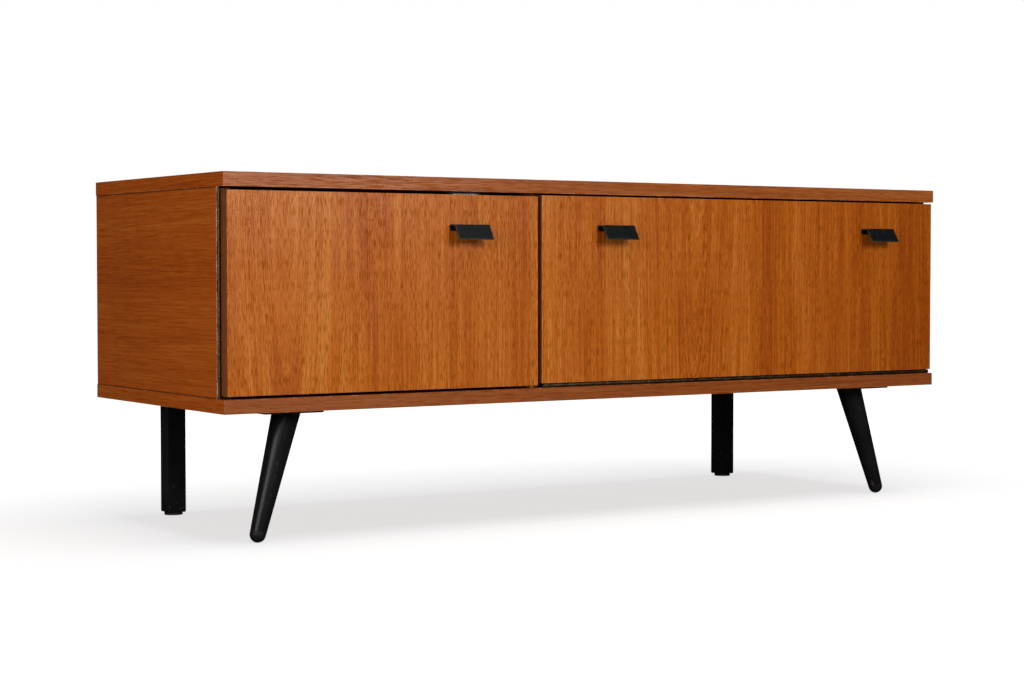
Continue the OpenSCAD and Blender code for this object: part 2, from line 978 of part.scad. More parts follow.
// Rod with an eye at the flap's end
module stay_rod(side) {
  neck = eye_r - stay_rod_r;
  color(nickel) difference() {
    at_stay_rod(side) union() {
      rotate([0, 90, 0]) cylinder(h = eye_t, r = eye_r, center = true);
      translate([0, 0, neck]) cylinder(h = stop_from_pivot + stop_len - neck, r = stay_rod_r);
    }
    at_stay_rod(side) rotate([0, 90, 0])
      cylinder(h = eye_t + 2 * past, r = stay_pin_r + running, center = true);
  }
}

module stay_rod_left() {
  stay_rod(-1);
}

module stay_rod_right() {
  stay_rod(1);
}

module stay_stop(side) {
  color(steel) at_stay_rod(side) translate([0, 0, stop_from_pivot]) difference() {
    cylinder(h = stop_len, r = stop_r);
    translate([0, 0, -past]) cylinder(h = stop_len + 2 * past, r = stay_rod_r);
  }
}

module stay_stop_left() {
  stay_stop(-1);
}

module stay_stop_right() {
  stay_stop(1);
}

// The pivot on the flap, with X along the pin
module at_stay_pivot(side) {
  translate([stay_rod_x(side), stay_pivot_y, stay_pivot_z]) children();
}

// Places for the children at a bracket's two screws
module at_bracket_screws(side) {
  for (dir = [-1, 1]) {
    translate([stay_rod_x(side), inner_y + bracket_t, stay_pivot_z + dir * bracket_screw_z])
      from_back() children();
  }
}

// Bracket on the flap: a plate with two round-ended ears
module stay_bracket(side) {
  ear_x = eye_t / 2 + ear_gap;
  color(nickel) difference() {
    union() {
      block(
        [stay_rod_x(side) - bracket_w / 2, inner_y, stay_pivot_z - bracket_h / 2],
        [stay_rod_x(side) + bracket_w / 2, inner_y + bracket_t, stay_pivot_z + bracket_h / 2]
      );
      at_stay_pivot(side) for (dir = [-1, 1]) {
        translate([dir * (ear_x + bracket_ear_t / 2), 0, 0]) {
          rotate([0, 90, 0]) cylinder(h = bracket_ear_t, r = bracket_ear_r, center = true);
          translate([-bracket_ear_t / 2, -stay_pivot_out + past, -bracket_ear_r])
            cube([bracket_ear_t, stay_pivot_out - past, 2 * bracket_ear_r]);
        }
      }
    }
    at_stay_pivot(side) rotate([0, 90, 0]) cylinder(h = bracket_w, r = stay_pin_r, center = true);
    at_bracket_screws(side) screw_body(small_head_r, small_shank_r, stay_screw_len);
  }
}

module stay_bracket_left() {
  stay_bracket(-1);
}

module stay_bracket_right() {
  stay_bracket(1);
}

module stay_bracket_screws() {
  color(steel) for (side = [-1, 1]) {
    at_bracket_screws(side) slotted_screw(small_head_r, small_shank_r, stay_screw_len);
  }
}

// Pins through the brackets and the eyes, with riveted heads
module stay_pins() {
  half = eye_t / 2 + ear_gap + bracket_ear_t;
  color(steel) for (side = [-1, 1]) {
    at_stay_pivot(side) rotate([0, 90, 0]) {
      cylinder(h = 2 * half, r = stay_pin_r, center = true);
      translate([0, 0, half]) cylinder(h = pin_head_t, r = pin_head_r);
      translate([0, 0, -half - pin_head_t]) cylinder(h = pin_head_t, r = pin_head_r);
    }
  }
}

top_panel();
bottom_panel();
left_side_panel();
right_side_panel();
divider_panel();
back_panel();
back_panel_screws();
carcase_dowels();
shelf();
shelf_pins();
door_hinge_carcase_leaf();
door_hinge_pin();
door_hinge_carcase_screws();
flap_hinge_carcase_leaf();
flap_hinge_pin();
flap_hinge_carcase_screws();
door_catch();
flap_catch_left();
flap_catch_right();
catch_magnets();
catch_screws();
stay_base_left();
stay_base_right();
stay_base_screws();
front_leg_left();
front_leg_right();
front_leg_plate_left();
front_leg_plate_right();
front_leg_plate_screws();
front_leg_bolts();
front_leg_glides();
rear_leg_left();
rear_leg_right();
rear_leg_bolts();
rear_leg_glides();
door_panel();
door_hinge_door_leaf();
door_hinge_door_screws();
door_pull();
door_pull_screws();
door_keeper();
door_keeper_screws();
flap_panel();
flap_hinge_flap_leaf();
flap_hinge_flap_screws();
flap_pull_left();
flap_pull_right();
flap_pull_screws();
flap_keepers();
flap_keeper_screws();
stay_bracket_left();
stay_bracket_right();
stay_pins();
stay_bracket_screws();
stay_rod_left();
stay_rod_right();
stay_stop_left();
stay_stop_right();
stay_guide_left();
stay_guide_right();
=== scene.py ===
"""Looks of the sideboard buffet: its woods and metals, the studio round it and the camera."""

import math

import bpy
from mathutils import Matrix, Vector


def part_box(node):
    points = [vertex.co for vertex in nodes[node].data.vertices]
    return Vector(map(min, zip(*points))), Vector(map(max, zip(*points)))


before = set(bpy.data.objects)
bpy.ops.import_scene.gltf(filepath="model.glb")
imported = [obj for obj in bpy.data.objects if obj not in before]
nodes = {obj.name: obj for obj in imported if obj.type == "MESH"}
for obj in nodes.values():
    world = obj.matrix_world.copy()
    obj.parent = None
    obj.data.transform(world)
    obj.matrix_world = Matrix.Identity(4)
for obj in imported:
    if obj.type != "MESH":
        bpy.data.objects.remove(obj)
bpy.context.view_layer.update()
scene = bpy.context.scene

# The axes, in the order of a point's coordinates
AXES = "xyz"


# ---------------------------------------------------------------- camera

# Place in metres, turn about X, Y and Z in degrees, and focal length in millimetres
CAMERA_PLACE = (-1.7608, -2.6223, 0.3682)
CAMERA_TURN = (87.933, 0.0, -33.084)
CAMERA_LENS = 72.0


def add_camera():
    """The camera stands low at the left front and looks at the cabinet along its diagonal."""
    data = bpy.data.cameras.new("camera")
    data.lens = CAMERA_LENS
    data.sensor_width = 36.0
    data.clip_end = 60.0
    camera = bpy.data.objects.new("camera", data)
    camera.location = CAMERA_PLACE
    camera.rotation_euler = [math.radians(turn) for turn in CAMERA_TURN]
    scene.collection.objects.link(camera)
    scene.camera = camera


# ---------------------------------------------------------------- node graphs

class Graph:
    """Shorthand for building the nodes of one material."""

    def __init__(self, name):
        self.material = bpy.data.materials.new(name)
        self.material.use_nodes = True
        self.tree = self.material.node_tree
        self.tree.nodes.clear()

    def node(self, kind, **settings):
        made = self.tree.nodes.new(kind)
        for key, value in settings.items():
            setattr(made, key, value)
        return made

    def put(self, socket, value):
        if isinstance(value, bpy.types.NodeSocket):
            self.tree.links.new(value, socket)
        else:
            socket.default_value = value

    def math(self, operation, *values):
        made = self.node("ShaderNodeMath", operation=operation)
        for socket, value in zip(made.inputs, values):
            self.put(socket, value)
        return made.outputs[0]

    def add(self, *values):
        total = values[0]
        for value in values[1:]:
            total = self.math("ADD", total, value)
        return total

    def times(self, a, b):
        return self.math("MULTIPLY", a, b)

    def gap(self, a, b):
        return self.math("ABSOLUTE", self.math("SUBTRACT", a, b))

    def vector(self, x, y, z):
        made = self.node("ShaderNodeCombineXYZ")
        for socket, value in zip(made.inputs, (x, y, z)):
            self.put(socket, value)
        return made.outputs[0]

    def noise(self, x, y, z, detail=2.0, roughness=0.5):
        """Noise of mean 0.5 whose cells are one unit of x, y and z across."""
        made = self.node("ShaderNodeTexNoise")
        self.put(made.inputs["Vector"], self.vector(x, y, z))
        made.inputs["Scale"].default_value = 1.0
        made.inputs["Detail"].default_value = detail
        made.inputs["Roughness"].default_value = roughness
        return made.outputs[0]

    def speckle(self, per_metre, detail=2.0, roughness=0.5):
        """Noise of mean 0.5 with so many cells per metre along X, Y and Z."""
        scaled = [self.times(part, cells) for part, cells in zip(self.position(), per_metre)]
        return self.noise(*scaled, detail, roughness)

    def remap(self, value, low, high, to_low=0.0, to_high=1.0):
        """Smooth step of the value, from to_low at low to to_high at high."""
        made = self.node("ShaderNodeMapRange", interpolation_type="SMOOTHSTEP")
        for socket, given in zip(made.inputs, (value, low, high, to_low, to_high)):
            self.put(socket, given)
        return made.outputs[0]

    def ramp(self, value, stops):
        """Colour of the value on a scale of stops, each a place and a colour."""
        made = self.node("ShaderNodeValToRGB")
        self.put(made.inputs[0], value)
        elements = made.color_ramp.elements
        stops = tuple(stops)
        while len(elements) < len(stops):
            elements.new(0.5)
        for element, (place, colour) in zip(elements, stops):
            element.position = place
            element.color = (*colour, 1.0)
        return made.outputs[0]

    def blend(self, factor, a, b):
        """Colour a, turned into colour b as factor goes from 0 to 1."""
        made = self.node("ShaderNodeMix", data_type="RGBA", blend_type="MIX")
        sockets = (made.inputs[0], made.inputs[6], made.inputs[7])
        for socket, value in zip(sockets, (factor, a, b)):
            if isinstance(value, tuple):
                value = (*value, 1.0)
            self.put(socket, value)
        return made.outputs[2]

    def bump(self, height, distance, strength=0.5):
        made = self.node("ShaderNodeBump")
        made.inputs["Strength"].default_value = strength
        made.inputs["Distance"].default_value = distance
        self.put(made.inputs["Height"], height)
        return made.outputs[0]

    def position(self):
        """The three coordinates of the point, in metres, in the cabinet's own frame."""
        coordinates = self.node("ShaderNodeTexCoord")
        split = self.node("ShaderNodeSeparateXYZ")
        self.put(split.inputs[0], coordinates.outputs["Object"])
        return split.outputs

    def facing(self):
        """For each axis, 1 where the surface faces along it and 0 elsewhere."""
        coordinates = self.node("ShaderNodeTexCoord")
        split = self.node("ShaderNodeSeparateXYZ")
        self.put(split.inputs[0], coordinates.outputs["Normal"])
        return [self.math("GREATER_THAN", self.math("ABSOLUTE", part), 0.6) for part in split.outputs]

    def finish(self, **sockets):
        """Closes the graph with one surface shader and returns the material."""
        shader = self.node("ShaderNodeBsdfPrincipled")
        for name, value in sockets.items():
            if isinstance(value, tuple):
                value = (*value, 1.0)
            self.put(shader.inputs[name.replace("_", " ")], value)
        output = self.node("ShaderNodeOutputMaterial")
        self.put(output.inputs["Surface"], shader.outputs[0])
        return self.material


# ---------------------------------------------------------------- woods

def board_coordinates(g, grain):
    """Across, along and depth coordinates on a board. grain gives, for faces that look along X,
    Y and Z, the axis that their grain follows."""
    position = g.position()
    facing = g.facing()
    across, along, depth = 0.0, 0.0, 0.0
    for face, axis in enumerate(grain):
        follow = AXES.index(axis)
        other = 3 - face - follow
        across = g.math("MULTIPLY_ADD", facing[face], position[other], across)
        along = g.math("MULTIPLY_ADD", facing[face], position[follow], along)
        depth = g.math("MULTIPLY_ADD", facing[face], position[face], depth)
    return across, along, depth


def edge_distance(g, node):
    """Distance in metres from the point to the nearest edge of a box-shaped board."""
    gaps = []
    for part, low, high in zip(g.position(), *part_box(node)):
        gaps.append(g.math("MINIMUM", g.gap(part, low), g.gap(high, part)))
    smaller = g.math("MINIMUM", gaps[0], gaps[1])
    larger = g.math("MAXIMUM", gaps[0], gaps[1])
    return g.math("MAXIMUM", smaller, g.math("MINIMUM", larger, gaps[2]))


def front_edge_distance(g, node):
    """Distance in metres from the point to the nearer of a board's two upright front edges."""
    low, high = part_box(node)
    x, y, _ = g.position()
    from_side = g.math("MINIMUM", g.gap(x, low[0]), g.gap(high[0], x))
    return g.math("MAXIMUM", from_side, g.gap(y, low[1]))


def painted_joint_shadow(g, node):
    """1 along a board's top and bottom edges, where it meets its neighbours and a painted shadow darkens
    it, and 0 elsewhere.
    """
    low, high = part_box(node)
    z = g.position()[2]
    from_end = g.math("MINIMUM", g.gap(z, low[2]), g.gap(high[2], z))
    return g.remap(from_end, 0.0008, 0.0022, 1.0, 0.0)


def growth(g, across, along, hearts):
    """The coordinate that growth rings follow. It runs straight across the grain, and round each
    heart, a place (across, along) with a slope, it closes to the arches of a flat-cut board."""
    nearest = None
    for heart_across, heart_along, slope in hearts:
        aside = g.math("SUBTRACT", across, heart_across)
        above = g.times(g.math("SUBTRACT", along, heart_along), slope)
        radius = g.math("SQRT", g.add(g.times(aside, aside), g.times(above, above)))
        nearest = radius if nearest is None else g.math("MINIMUM", nearest, radius)
    return across if nearest is None else nearest


def bands(g, across, along, places, seed):
    """Broad stripes of another shade. Each has a middle and a half width in metres across the
    grain, and how much it lightens the wood; their sides waver along the grain."""
    waver = g.times(g.math("SUBTRACT", g.noise(g.times(along, 3.5), seed, 0.0), 0.5), 0.05)
    total = 0.0
    for middle, half, lift in places:
        away = g.math("ABSOLUTE", g.math("SUBTRACT", g.math("SUBTRACT", across, waver), middle))
        total = g.add(total, g.remap(away, 0.35 * half, 1.4 * half, lift, 0.0))
    return total


# Growth rings per metre at each scale of the figure, and how far each scale moves the tone
BROAD_RINGS, STRIPE_RINGS, LINE_RINGS = 17.0, 95.0, 430.0
BROAD, STRIPES, LINES = 0.42, 0.34, 0.80

# Where the dark, middle and light shades of teak lie on the scale of its tone
SHADE_STOPS = (0.26, 0.50, 0.76)

# Pores per metre across the grain
PORES_ACROSS = 820.0

# Brown of the painted shadow in the joints under the overhanging top and bottom
JOINT_SHADOW_BROWN = (0.030, 0.010, 0.004)
# Pale of rubbed teak, also a painted highlight where the arrises catch the light
WORN_AND_HIGHLIT_TEAK = (0.68, 0.46, 0.29)


def veneer_tone(g, across, along, depth, rings, lines, seed, figure, places):
    """How light the wood is, about a mean of 0.5, from its rings, mottle and broad bands."""
    side = g.math("MULTIPLY_ADD", across, 4.0, g.times(depth, 3.0))
    broad = g.noise(g.times(rings, BROAD_RINGS), g.times(along, 0.7), g.add(side, seed))
    stripes = g.noise(g.times(rings, STRIPE_RINGS), g.times(along, 1.4), g.add(side, seed + 3.0))
    mottle = g.noise(g.times(across, 95.0), g.times(along, 36.0), seed, detail=3.0)
    patch = g.noise(g.times(across, 9.0), g.times(along, 3.0), seed + 9.0)
    return g.add(
        g.times(broad, BROAD * figure),
        g.times(stripes, STRIPES * figure),
        g.times(lines, LINES),
        g.times(g.math("SUBTRACT", mottle, 0.5), g.remap(patch, 0.45, 0.62, 0.08, 0.26)),
        bands(g, across, along, places, seed),
        0.5 - 0.5 * (BROAD * figure + STRIPES * figure + LINES),
    )


def rubbed_and_highlit_edges(g, node, across, along, seed, width, in_frame):
    """1 where the edges of a board are rubbed pale, with a painted highlight on them, and 0 elsewhere."""
    rub = g.noise(g.times(across, 240.0), g.times(along, 45.0), seed + 7.0, detail=3.0)
    if in_frame:
        edge = front_edge_distance(g, node)
        chips = g.remap(rub, 0.40, 0.60)
    else:
        edge = edge_distance(g, node)
        chips = g.remap(rub, 0.52, 0.62)
    return g.times(g.remap(edge, 0.25 * width, width, 1.0, 0.0), chips)


def teak(
    name, node, grain, shades, seed,
    hearts=(), places=(), lipping=None, lipped=(1,), figure=1.0, pore=0.46, pore_length=0.014,
    wear_and_highlight=0.2, rubbed=0.0012, in_frame=False,
):
    """Lacquered teak veneer. shades are its dark, middle and light colours, figure is how strong
    its broad grain is, and pore how dark its pores are. lipping is the shades of the solid strips
    on the faces that look along the lipped axes. wear_and_highlight is how pale the rubbed edges
    are, with the painted highlight on them, and rubbed how wide. A board in a frame is rubbed at
    its front edges only, and painted dark at its joints with the shadow of the overhanging top and
    bottom."""
    g = Graph(name)
    across, along, depth = board_coordinates(g, grain)
    drift = g.noise(g.times(across, 5.0), g.times(along, 1.6), seed)
    bent = g.math("MULTIPLY_ADD", drift, 0.018, across)
    rings = growth(g, bent, along, hearts)
    lines = g.noise(g.times(rings, LINE_RINGS), g.times(along, 6.0), seed, detail=3.0, roughness=0.6)
    tone = veneer_tone(g, across, along, depth, rings, lines, seed, figure, places)
    colour = g.ramp(tone, zip(SHADE_STOPS, shades))
    if lipping:
        on_lipping = g.add(*[g.facing()[axis] for axis in lipped])
        colour = g.blend(on_lipping, colour, g.ramp(tone, zip(SHADE_STOPS, lipping)))

    ticks = g.noise(g.times(across, PORES_ACROSS), g.times(along, 1.0 / pore_length), seed, detail=1.0)
    pores = g.remap(ticks, 0.49, 0.60)
    share = g.remap(g.noise(g.times(rings, 60.0), g.times(along, 3.0), seed), 0.35, 0.65, 0.62, 1.0)
    deep_pores = g.times(pores, share)
    colour = g.blend(g.times(deep_pores, pore), colour, tuple(0.30 * part for part in shades[0]))

    if in_frame:
        # Painted shadow: darker along the top and bottom edges, where the overhanging top and bottom
        # shade the joints
        colour = g.blend(g.times(painted_joint_shadow(g, node), 0.8), colour, JOINT_SHADOW_BROWN)
    # Paler along the edges: real rubbing, and a painted highlight on the arrises that catch the light
    worn_and_highlit = rubbed_and_highlit_edges(g, node, across, along, seed, rubbed, in_frame)
    colour = g.blend(g.times(worn_and_highlit, wear_and_highlight), colour, WORN_AND_HIGHLIT_TEAK)

    fine = g.noise(g.times(across, 1500.0), g.times(along, 90.0), seed)
    smudge = g.noise(g.times(across, 9.0), g.times(along, 7.0), seed + 5.0, detail=3.0)
    relief = g.add(g.times(pores, -0.8), g.times(lines, 0.35), g.times(fine, 0.25))
    return g.finish(
        Base_Color=colour,
        Roughness=g.add(g.remap(smudge, 0.3, 0.7, 0.25, 0.30), g.times(pores, 0.10)),
        Specular_IOR_Level=g.remap(deep_pores, 0.0, 0.8, 0.40, 0.05),
        Normal=g.bump(relief, 0.00016, 0.45),
    )


# Thickness in metres of two layers of the plywood, one light and one dark
PLY = 0.0017


def plywood(name, node):
    """Plain plywood with wide, quiet grain and darker glued layers on its edges."""
    g = Graph(name)
    x, y, z = g.position()
    drift = g.noise(g.times(x, 1.5), g.times(z, 6.0), 2.0)
    bent = g.math("MULTIPLY_ADD", drift, 0.06, z)
    figure = g.noise(g.times(x, 1.8), g.times(bent, 34.0), 5.0, detail=3.0)
    lines = g.noise(g.times(x, 14.0), g.times(bent, 420.0), 1.0)
    tone = g.add(g.times(figure, 0.7), g.times(lines, 0.3))
    colour = g.ramp(tone, ((0.34, (0.30, 0.16, 0.075)), (0.66, (0.47, 0.29, 0.15))))
    layers = g.remap(g.math("SINE", g.times(y, 2.0 * math.pi / PLY)), -0.2, 0.5)
    on_edge = g.math("SUBTRACT", 1.0, g.facing()[1])
    colour = g.blend(g.times(g.times(layers, on_edge), 0.6), colour, (0.13, 0.065, 0.03))
    dust = g.remap(edge_distance(g, node), 0.0, 0.03, 0.22, 0.0)
    colour = g.blend(dust, colour, (0.16, 0.10, 0.06))
    return g.finish(
        Base_Color=colour,
        Roughness=g.remap(lines, 0.3, 0.7, 0.62, 0.76),
        Specular_IOR_Level=0.3,
        Normal=g.bump(g.add(lines, g.times(figure, 0.5)), 0.0003),
    )


def beech(name):
    """Turned beech with the small brown flecks of its rays."""
    g = Graph(name)
    tone = g.speckle((260.0, 260.0, 18.0), detail=3.0)
    flecks = g.remap(g.speckle((900.0, 900.0, 240.0)), 0.60, 0.70)
    colour = g.ramp(tone, ((0.3, (0.50, 0.33, 0.18)), (0.7, (0.68, 0.50, 0.31))))
    colour = g.blend(g.times(flecks, 0.6), colour, (0.30, 0.17, 0.08))
    return g.finish(Base_Color=colour, Roughness=g.remap(tone, 0.3, 0.7, 0.5, 0.62))


def black_wood(name):
    """Wood under black satin lacquer: the pores still show a little, and the feet are scuffed."""
    g = Graph(name)
    grain = g.speckle((420.0, 420.0, 22.0), detail=3.0)
    cloud = g.speckle((30.0, 30.0, 14.0), detail=3.0)
    colour = g.ramp(cloud, ((0.3, (0.0045, 0.0043, 0.0045)), (0.7, (0.0085, 0.0080, 0.0083))))
    scuffs = g.remap(g.speckle((130.0, 130.0, 90.0), detail=4.0), 0.60, 0.68)
    near_floor = g.remap(g.position()[2], 0.01, 0.06, 0.8, 0.08)
    colour = g.blend(g.times(scuffs, g.times(near_floor, 0.5)), colour, (0.075, 0.055, 0.042))
    return g.finish(
        Base_Color=colour,
        Roughness=g.add(g.remap(cloud, 0.3, 0.7, 0.20, 0.27), g.times(scuffs, 0.15)),
        Specular_IOR_Level=0.16,
        Normal=g.bump(grain, 0.00016),
    )


# ---------------------------------------------------------------- metals and plastic

def enamel(name, node):
    """Black satin enamel on folded sheet, with a fine orange-peel skin, a few rubbed spots, and a
    painted highlight along its low and left edges."""
    g = Graph(name)
    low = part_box(node)[0]
    x, _, z = g.position()
    peel = g.speckle((1400.0, 1400.0, 1400.0))
    cloud = g.speckle((120.0, 120.0, 120.0), detail=3.0)
    colour = g.ramp(cloud, ((0.3, (0.0040, 0.0046, 0.0050)), (0.7, (0.0070, 0.0078, 0.0082))))
    rubbed = g.remap(g.speckle((520.0, 300.0, 520.0), detail=4.0), 0.63, 0.70)
    # Painted highlight: lighter lines along the plate's low and left edges
    lowest_highlight = g.remap(g.math("SUBTRACT", z, low[2]), 0.0006, 0.0022, 1.0, 0.0)
    leftmost_highlight = g.remap(g.math("SUBTRACT", x, low[0]), 0.0004, 0.0014, 1.0, 0.0)
    painted_edge_highlight = g.times(g.math("MAXIMUM", lowest_highlight, leftmost_highlight), g.remap(cloud, 0.35, 0.55, 0.25, 0.9))
    # Rubbed spots, and the painted highlight on the edges, turn the enamel pale
    bare_and_highlit = g.math("MAXIMUM", g.times(rubbed, 0.3), g.times(painted_edge_highlight, 0.65))
    colour = g.blend(bare_and_highlit, colour, (0.070, 0.060, 0.052))
    return g.finish(
        Base_Color=colour,
        Roughness=g.add(g.remap(cloud, 0.3, 0.7, 0.28, 0.36), g.times(rubbed, 0.1)),
        Specular_IOR_Level=0.12,
        Normal=g.bump(peel, 0.00008),
    )


def metal(name, dull, bright, roughness, draw, tarnish=(0.10, 0.075, 0.05)):
    """Bare or plated metal. draw is the axis that its fine drawing marks follow."""
    g = Graph(name)
    marks = g.speckle([60.0 if axis == draw else 1900.0 for axis in AXES], detail=3.0)
    cloud = g.speckle((85.0, 85.0, 85.0), detail=4.0, roughness=0.6)
    spots = g.remap(g.speckle((430.0, 430.0, 430.0), detail=3.0), 0.60, 0.72)
    colour = g.ramp(g.add(g.times(cloud, 0.65), g.times(marks, 0.35)), ((0.34, dull), (0.64, bright)))
    colour = g.blend(g.times(spots, 0.4), colour, tarnish)
    dullness = g.remap(cloud, 0.3, 0.7, roughness, roughness + 0.14)
    return g.finish(
        Base_Color=colour,
        Metallic=1.0,
        Roughness=g.add(dullness, g.times(spots, 0.2), g.times(marks, 0.06)),
        Normal=g.bump(marks, 0.00004),
    )


def ferrite(name):
    """Dark, grainy sintered magnet."""
    g = Graph(name)
    grains = g.speckle((1600.0, 1600.0, 1600.0), detail=3.0)
    colour = g.ramp(grains, ((0.35, (0.022, 0.022, 0.024)), (0.68, (0.060, 0.060, 0.064))))
    return g.finish(
        Base_Color=colour,
        Roughness=g.remap(grains, 0.3, 0.7, 0.46, 0.62),
        Normal=g.bump(grains, 0.00008),
    )


def rubbery(name):
    """Matt black plastic, dusty where it meets the floor."""
    g = Graph(name)
    grains = g.speckle((900.0, 900.0, 900.0), detail=3.0)
    colour = g.ramp(grains, ((0.3, (0.005, 0.005, 0.005)), (0.7, (0.010, 0.010, 0.010))))
    near_floor = g.remap(g.position()[2], 0.0, 0.003, 0.40, 0.0)
    dust = g.times(near_floor, g.remap(grains, 0.4, 0.65))
    colour = g.blend(dust, colour, (0.14, 0.13, 0.12))
    return g.finish(
        Base_Color=colour,
        Roughness=g.remap(grains, 0.3, 0.7, 0.42, 0.55),
        Specular_IOR_Level=0.16,
        Normal=g.bump(grains, 0.0001),
    )


# ---------------------------------------------------------------- materials on the CAD nodes

# Dark, middle and light shades of the teak veneer, and of the solid teak on its edges
FRONT_SHADES = ((0.265, 0.048, 0.0010), (0.395, 0.094, 0.0042), (0.510, 0.178, 0.0270))
CASE_SHADES = ((0.290, 0.045, 0.0010), (0.410, 0.080, 0.0034), (0.500, 0.130, 0.0160))
INSIDE_SHADES = ((0.250, 0.062, 0.0070), (0.360, 0.100, 0.0130), (0.460, 0.145, 0.0240))
# The same solid teak on the top and on the bottom, painted lighter on the top with sheen and darker on
# the bottom with shade
TOP_LIPPING_SHEEN = ((0.200, 0.047, 0.0070), (0.290, 0.075, 0.0130), (0.375, 0.118, 0.0280))
LOW_LIPPING_SHADED = ((0.155, 0.036, 0.0050), (0.225, 0.056, 0.0098), (0.300, 0.088, 0.0200))
# Solid teak on the edges of the door and flap, painted darker with the shade of the gaps round them
EDGE_LIPPING_SHADED = ((0.130, 0.034, 0.0060), (0.200, 0.056, 0.0120), (0.280, 0.088, 0.0240))

# What teak() is given for each panel
TEAK_PANELS = {
    "top_panel": {
        "grain": "yxx", "shades": CASE_SHADES, "seed": 11.0, "lipping": TOP_LIPPING_SHEEN,
        "hearts": ((0.06, -0.20, 0.05),), "pore": 0.36, "pore_length": 0.030,
    },
    "bottom_panel": {
        "grain": "yxx", "shades": CASE_SHADES, "seed": 23.0, "lipping": LOW_LIPPING_SHADED,
        "pore": 0.36, "pore_length": 0.030,
    },
    "left_side_panel": {
        "grain": "yzy", "shades": CASE_SHADES, "seed": 31.0, "figure": 0.5, "pore": 0.32,
        "places": ((0.345, 0.010, -0.07), (0.270, 0.007, -0.06), (0.424, 0.004, 0.08)),
        # The left side's front arris is painted palest: rubbing and a painted highlight
        "pore_length": 0.045, "wear_and_highlight": 1.0, "rubbed": 0.0038, "in_frame": True,
    },
    "right_side_panel": {
        "grain": "yzy", "shades": CASE_SHADES, "seed": 43.0, "figure": 0.6, "pore": 0.32,
        "pore_length": 0.045, "wear_and_highlight": 0.7, "rubbed": 0.0024, "in_frame": True,
    },
    "divider_panel": {"grain": "yzy", "shades": INSIDE_SHADES, "seed": 57.0},
    "shelf": {"grain": "yxx", "shades": INSIDE_SHADES, "seed": 61.0},
    "door_panel": {
        "grain": "zzx", "shades": FRONT_SHADES, "seed": 71.0, "lipping": EDGE_LIPPING_SHADED, "lipped": (0, 2),
        "hearts": ((-0.530, 0.66, 0.07),), "places": ((-0.480, 0.040, 0.08), (-0.395, 0.028, -0.06)),
    },
    "flap_panel": {
        "grain": "zzx", "shades": FRONT_SHADES, "seed": 83.0, "lipping": EDGE_LIPPING_SHADED, "lipped": (0, 2),
        "hearts": ((0.150, 0.62, 0.06),),
        "places": (
            (-0.050, 0.020, -0.08), (0.022, 0.046, 0.07), (0.292, 0.036, -0.06), (0.380, 0.032, 0.08),
            # Painted shade, with a deeper tone of the wood: the last, wide band darkens the flap towards
            # its right end, where less light falls
            (0.640, 0.440, -0.12),
        ),
    },
}


def finish_woods():
    """Gives each teak panel and the back its own material."""
    for node, wood in TEAK_PANELS.items():
        nodes[node].material_slots[0].material = teak("teak_" + node, node, **wood)
    nodes["back_panel"].material_slots[0].material = plywood("plywood_back", "back_panel")


def finish_by_slot():
    """Gives every other node the finish of its own material slot."""
    made = {
        "beech": beech("beech_turned"),
        "black_wood": black_wood("lacquer_black"),
        "pale_steel": metal("nickel_dull", (0.36, 0.33, 0.27), (0.60, 0.57, 0.49), 0.30, "z"),
        "bronzed_steel": metal(
            "steel_bronzed", (0.045, 0.028, 0.016), (0.120, 0.078, 0.045), 0.36, "x", (0.02, 0.015, 0.012)
        ),
        "zinc_steel": metal("steel_zinc", (0.40, 0.40, 0.39), (0.62, 0.62, 0.61), 0.28, "y"),
        "catch_metal": metal("catch_alloy", (0.30, 0.31, 0.27), (0.48, 0.49, 0.43), 0.42, "x"),
        "magnet": ferrite("magnet_ferrite"),
        "glide_plastic": rubbery("plastic_black"),
    }
    for name, node in nodes.items():
        slot = node.material_slots[0]
        base = slot.material.name.split(".")[0]
        if base == "black_steel":
            slot.material = enamel("enamel_" + name, name)
        elif base in made:
            slot.material = made[base]


# Width in metres of the softened edges of each node
EDGES = {
    "top_panel": 0.0007, "bottom_panel": 0.0007, "left_side_panel": 0.0006, "right_side_panel": 0.0006,
    "divider_panel": 0.0005, "shelf": 0.0005, "door_panel": 0.0008, "flap_panel": 0.0008,
    "rear_leg_left": 0.0016, "rear_leg_right": 0.0016,
    "front_leg_plate_left": 0.0003, "front_leg_plate_right": 0.0003,
    "door_pull": 0.0002, "flap_pull_left": 0.0002, "flap_pull_right": 0.0002,
    "door_catch": 0.0004, "flap_catch_left": 0.0004, "flap_catch_right": 0.0004,
    "stay_base_left": 0.0004, "stay_base_right": 0.0004,
    "stay_bracket_left": 0.0003, "stay_bracket_right": 0.0003,
    "stay_guide_left": 0.0005, "stay_guide_right": 0.0005,
    "stay_stop_left": 0.0005, "stay_stop_right": 0.0005,
}


def soften_edges():
    """Rounds the sharp edges that light catches. The CAD meshes come split at every edge."""
    for node, width in EDGES.items():
        weld = nodes[node].modifiers.new("weld", "WELD")
        weld.merge_threshold = 0.000002
        bevel = nodes[node].modifiers.new("bevel", "BEVEL")
        bevel.width = width
        bevel.segments = 2
        bevel.limit_method = "ANGLE"
        bevel.angle_limit = math.radians(40.0)
        normals = nodes[node].modifiers.new("normals", "WEIGHTED_NORMAL")
        normals.keep_sharp = False


# ---------------------------------------------------------------- studio

# Painted light: the glow that the floor adds for the camera, under the cabinet and far off
NEAR_GLOW = 0.70
FAR_GLOW = 0.95

# How bright the backdrop is on surfaces, in reflections and to the camera
AMBIENT = 0.10
MIRRORED = 0.03
SEEN = 1.0

# Half axes in metres of the ellipse under the cabinet, and where the glow starts and stops to
# rise, in sizes of that ellipse
GLOW_ELLIPSE = (0.95, 0.55)
GLOW_START, GLOW_STOP = 0.8, 2.4

FLOOR_HALF = 14.0

